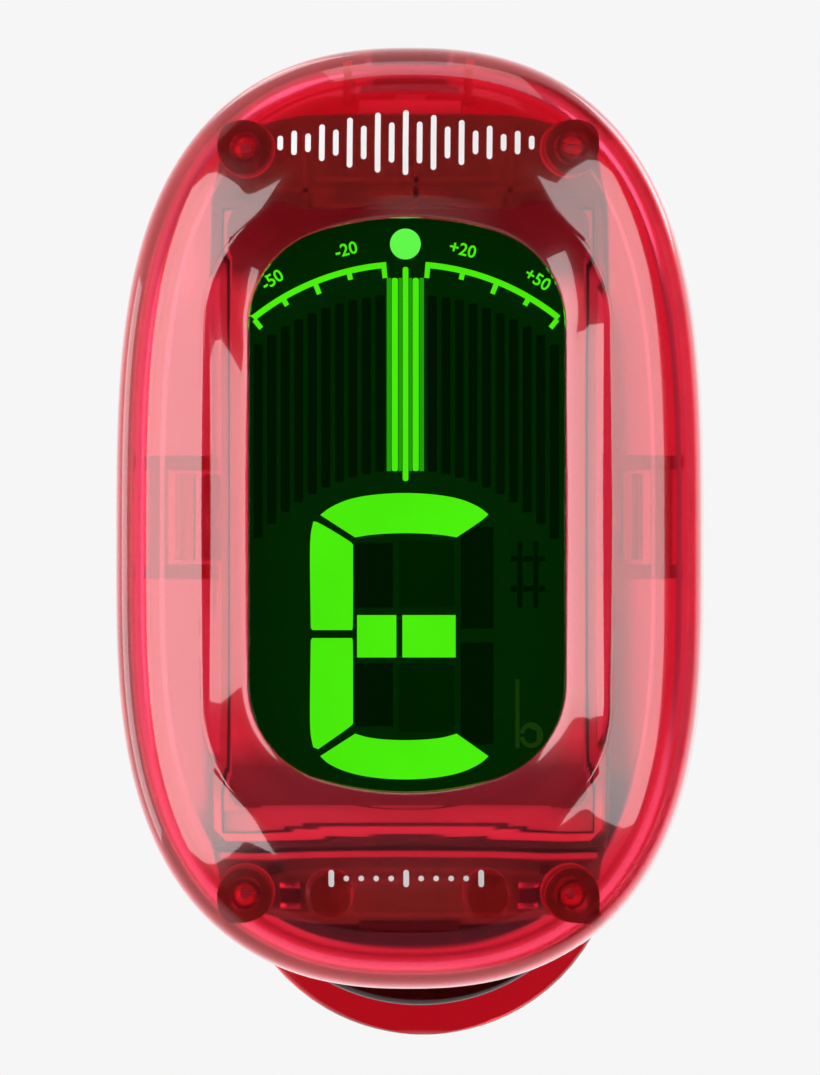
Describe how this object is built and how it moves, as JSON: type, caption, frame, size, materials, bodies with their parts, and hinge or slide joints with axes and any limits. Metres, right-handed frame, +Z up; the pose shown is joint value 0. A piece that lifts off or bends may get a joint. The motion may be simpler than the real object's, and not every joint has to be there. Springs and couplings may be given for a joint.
{
  "type": "clip on tuner",
  "caption": "Clip-on instrument tuner: oval see-through red head with a lit display, tilting and swivelling on a sprung clip.",
  "frame": {"origin": "middle of the front pad's gripping face", "axes": "+Z up along the head's height, the display faces -Y, the rear jaw is at +Y, +X to the right seen from the front"},
  "size_m": [0.0354, 0.045, 0.06],
  "materials": {
    "red_shell": "see-through red polycarbonate, polished",
    "red_clip": "see-through red plastic, glossy",
    "clear_lens": "clear acrylic window, polished",
    "black_foam": "closed-cell foam",
    "pale_foam": "pale foam tape",
    "lcd_glass": "dark display glass with a green backlight showing its lit segments",
    "polarizer": "thin smoky film",
    "light_guide": "frosted acrylic plate",
    "white_plastic": "white moulded plastic",
    "board_laminate": "paper-based board, lacquered",
    "chip_black": "moulded epoxy",
    "zebra": "layered silicone strip",
    "steel": "plain zinc-plated steel",
    "cell_steel": "nickel-plated steel can",
    "brass": "plain sheet brass",
    "ceramic": "silvered ceramic",
    "capacitor_tan": "bare ceramic body",
    "lead_red": "PVC insulation",
    "lead_black": "PVC insulation",
    "rubber_pad": "soft dark silicone",
    "nylon": "natural nylon",
    "led_body": "white moulded case with a clear face"
  },
  "bodies": {
    "clip": {"front_jaw": "red_clip", "front_pad": "rubber_pad", "jaw_pivot_pin": "steel", "torsion_spring": "steel"},
    "rear_jaw": {"rear_jaw": "red_clip", "rear_pad": "rubber_pad"},
    "arm": {"swivel_arm": "red_clip", "swivel_screw": "steel", "swivel_washer": "steel"},
    "power_button": {"power_button": "red_shell"},
    "battery_door": {"battery_door": "red_shell"},
    "head": {"front_shell": "red_shell", "rear_cover": "red_shell", "display_lens": "clear_lens", "lens_gasket": "pale_foam", "lcd_polarizer": "polarizer", "lcd_glass": "lcd_glass", "backlight_guide": "light_guide", "backlight_reflector": "white_plastic", "backlight_frame": "white_plastic", "backlight_led_left": "led_body", "backlight_led_right": "led_body", "zebra_strip": "zebra", "circuit_board": "board_laminate", "board_screw_1": "steel", "board_screw_2": "steel", "board_screw_3": "steel", "board_screw_4": "steel", "tuner_chip": "chip_black", "crystal_can": "steel", "capacitor_1": "capacitor_tan", "capacitor_2": "capacitor_tan", "voltage_regulator": "chip_black", "chip_resistor_1": "chip_black", "chip_resistor_2": "chip_black", "coin_cell": "cell_steel", "battery_contact_negative": "steel", "battery_contact_positive": "steel", "tact_switch": "white_plastic", "piezo_disc": "brass", "piezo_ceramic": "ceramic", "piezo_foam": "black_foam", "piezo_lead_red": "lead_red", "piezo_lead_black": "lead_black", "tilt_pin": "steel", "friction_washer_left": "nylon", "friction_washer_right": "nylon"}
  },
  "joints": [
    {"name": "clip_open", "type": "hinge", "parent": "clip", "child": "rear_jaw", "pos_m": [0, 0.004, 0.022], "axis": [1, 0, 0], "range_deg": [0, 42], "stiffness_Nm_per_rad": 0.1, "springref_deg": -17.19, "deforming": ["torsion_spring"]},
    {"name": "head_swivel", "type": "hinge", "parent": "clip", "child": "arm", "pos_m": [0, 0, 0.003], "axis": [0, 1, 0], "continuous": true},
    {"name": "head_tilt", "type": "hinge", "parent": "arm", "child": "head", "pos_m": [0, -0.0112, 0.003], "axis": [1, 0, 0], "range_deg": [-15, 60]},
    {"name": "power_button_press", "type": "slide", "parent": "head", "child": "power_button", "axis": [0, 0, -1], "range_m": [0, 0.0004], "stiffness_N_per_m": 1500},
    {"name": "battery_door_slide", "type": "slide", "parent": "head", "child": "battery_door", "axis": [0, 0, 1], "range_m": [0, 0.026]}
  ]
}
